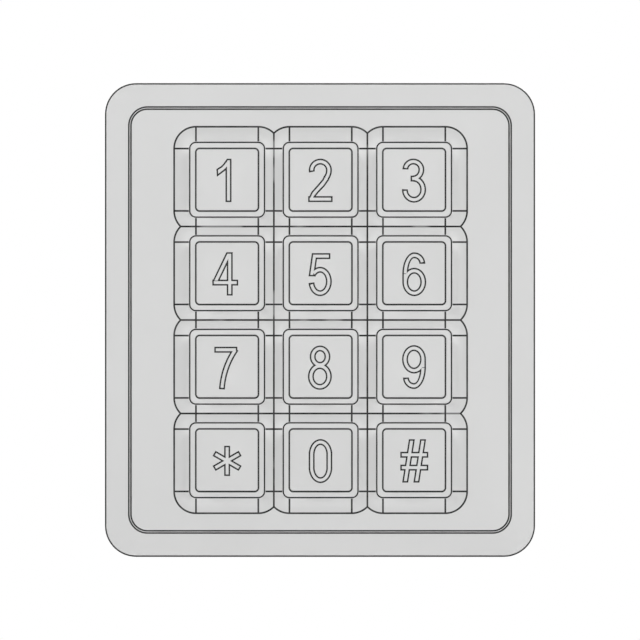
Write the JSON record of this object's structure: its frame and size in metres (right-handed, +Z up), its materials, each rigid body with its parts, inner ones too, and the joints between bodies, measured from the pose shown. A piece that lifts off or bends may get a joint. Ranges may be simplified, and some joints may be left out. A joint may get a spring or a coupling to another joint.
{
  "type": "keypad access reader",
  "caption": "Wall-mounted keypad for access control: a rounded box with an inset face plate, sprung stepped keys in dished surrounds, a circuit board and a hook-on wall plate.",
  "frame": {"origin": "middle of the wall plate's rear face, which rests on the wall", "axes": "+Y into the wall, away from the person; +Z up; +X to the right as a person faces the keys"},
  "size_m": [0.069, 0.0225, 0.076],
  "materials": {
    "housing_plastic": "fine moulded texture, light grey",
    "plate_metal": "light grey powder coat",
    "key_plastic": "satin light grey",
    "legend_plastic": "satin pale grey inlay",
    "seal_foam": "black closed cell foam",
    "nut_steel": "zinc plated",
    "mat_silicone": "translucent grey silicone",
    "pill_carbon": "matt conductive rubber",
    "board_laminate": "green solder mask",
    "lamp_resin": "clear and yellow resin",
    "chip_resin": "black epoxy",
    "can_metal": "drawn bare aluminium",
    "buzzer_plastic": "black moulding",
    "terminal_plastic": "green moulding",
    "spring_steel": "bright wire",
    "plunger_plastic": "natural acetal",
    "wall_plate_plastic": "dark grey moulding",
    "grommet_rubber": "black rubber",
    "insert_brass": "turned brass",
    "lock_screw_steel": "stainless"
  },
  "bodies": {
    "housing_body": {"housing": "housing_plastic", "face_plate": "plate_metal", "plate_seal": "seal_foam", "plate_nuts": "nut_steel", "keypad_mat": "mat_silicone", "contact_pills": "pill_carbon", "circuit_board": "board_laminate", "board_screws": "nut_steel", "backlight_lamps": "lamp_resin", "controller_chip": "chip_resin", "chip_parts": "chip_resin", "crystal": "can_metal", "voltage_regulator": "chip_resin", "capacitors": "can_metal", "buzzer": "buzzer_plastic", "terminal_block": "terminal_plastic", "terminal_screws": "nut_steel", "tamper_switch": "buzzer_plastic", "tamper_spring": "spring_steel", "wall_plate": "wall_plate_plastic", "wall_gasket": "seal_foam", "cable_grommet": "grommet_rubber", "threaded_inserts": "insert_brass", "lock_screws": "lock_screw_steel"},
    "tamper_pin": {"tamper_plunger": "plunger_plastic"},
    "key_1": {"key_1_cap": "key_plastic", "key_1_legend": "legend_plastic"},
    "key_2": {"key_2_cap": "key_plastic", "key_2_legend": "legend_plastic"},
    "key_3": {"key_3_cap": "key_plastic", "key_3_legend": "legend_plastic"},
    "key_4": {"key_4_cap": "key_plastic", "key_4_legend": "legend_plastic"},
    "key_5": {"key_5_cap": "key_plastic", "key_5_legend": "legend_plastic"},
    "key_6": {"key_6_cap": "key_plastic", "key_6_legend": "legend_plastic"},
    "key_7": {"key_7_cap": "key_plastic", "key_7_legend": "legend_plastic"},
    "key_8": {"key_8_cap": "key_plastic", "key_8_legend": "legend_plastic"},
    "key_9": {"key_9_cap": "key_plastic", "key_9_legend": "legend_plastic"},
    "key_star": {"key_star_cap": "key_plastic", "key_star_legend": "legend_plastic"},
    "key_0": {"key_0_cap": "key_plastic", "key_0_legend": "legend_plastic"},
    "key_hash": {"key_hash_cap": "key_plastic", "key_hash_legend": "legend_plastic"}
  },
  "joints": [
    {"name": "key_1_press", "type": "slide", "parent": "housing_body", "child": "key_1", "axis": [0, 1, 0], "range_m": [0, 0.0008], "stiffness_N_per_m": 2000, "springref_m": -0.0002, "deforming": ["keypad_mat", "contact_pills"]},
    {"name": "key_2_press", "type": "slide", "parent": "housing_body", "child": "key_2", "axis": [0, 1, 0], "range_m": [0, 0.0008], "stiffness_N_per_m": 2000, "springref_m": -0.0002},
    {"name": "key_3_press", "type": "slide", "parent": "housing_body", "child": "key_3", "axis": [0, 1, 0], "range_m": [0, 0.0008], "stiffness_N_per_m": 2000, "springref_m": -0.0002},
    {"name": "key_4_press", "type": "slide", "parent": "housing_body", "child": "key_4", "axis": [0, 1, 0], "range_m": [0, 0.0008], "stiffness_N_per_m": 2000, "springref_m": -0.0002},
    {"name": "key_5_press", "type": "slide", "parent": "housing_body", "child": "key_5", "axis": [0, 1, 0], "range_m": [0, 0.0008], "stiffness_N_per_m": 2000, "springref_m": -0.0002},
    {"name": "key_6_press", "type": "slide", "parent": "housing_body", "child": "key_6", "axis": [0, 1, 0], "range_m": [0, 0.0008], "stiffness_N_per_m": 2000, "springref_m": -0.0002},
    {"name": "key_7_press", "type": "slide", "parent": "housing_body", "child": "key_7", "axis": [0, 1, 0], "range_m": [0, 0.0008], "stiffness_N_per_m": 2000, "springref_m": -0.0002},
    {"name": "key_8_press", "type": "slide", "parent": "housing_body", "child": "key_8", "axis": [0, 1, 0], "range_m": [0, 0.0008], "stiffness_N_per_m": 2000, "springref_m": -0.0002},
    {"name": "key_9_press", "type": "slide", "parent": "housing_body", "child": "key_9", "axis": [0, 1, 0], "range_m": [0, 0.0008], "stiffness_N_per_m": 2000, "springref_m": -0.0002},
    {"name": "key_star_press", "type": "slide", "parent": "housing_body", "child": "key_star", "axis": [0, 1, 0], "range_m": [0, 0.0008], "stiffness_N_per_m": 2000, "springref_m": -0.0002},
    {"name": "key_0_press", "type": "slide", "parent": "housing_body", "child": "key_0", "axis": [0, 1, 0], "range_m": [0, 0.0008], "stiffness_N_per_m": 2000, "springref_m": -0.0002},
    {"name": "key_hash_press", "type": "slide", "parent": "housing_body", "child": "key_hash", "axis": [0, 1, 0], "range_m": [0, 0.0008], "stiffness_N_per_m": 2000, "springref_m": -0.0002},
    {"name": "tamper_release", "type": "slide", "parent": "housing_body", "child": "tamper_pin", "axis": [0, 1, 0], "range_m": [0, 0.0012], "stiffness_N_per_m": 400, "springref_m": 0.0016, "deforming": ["tamper_spring"]}
  ]
}
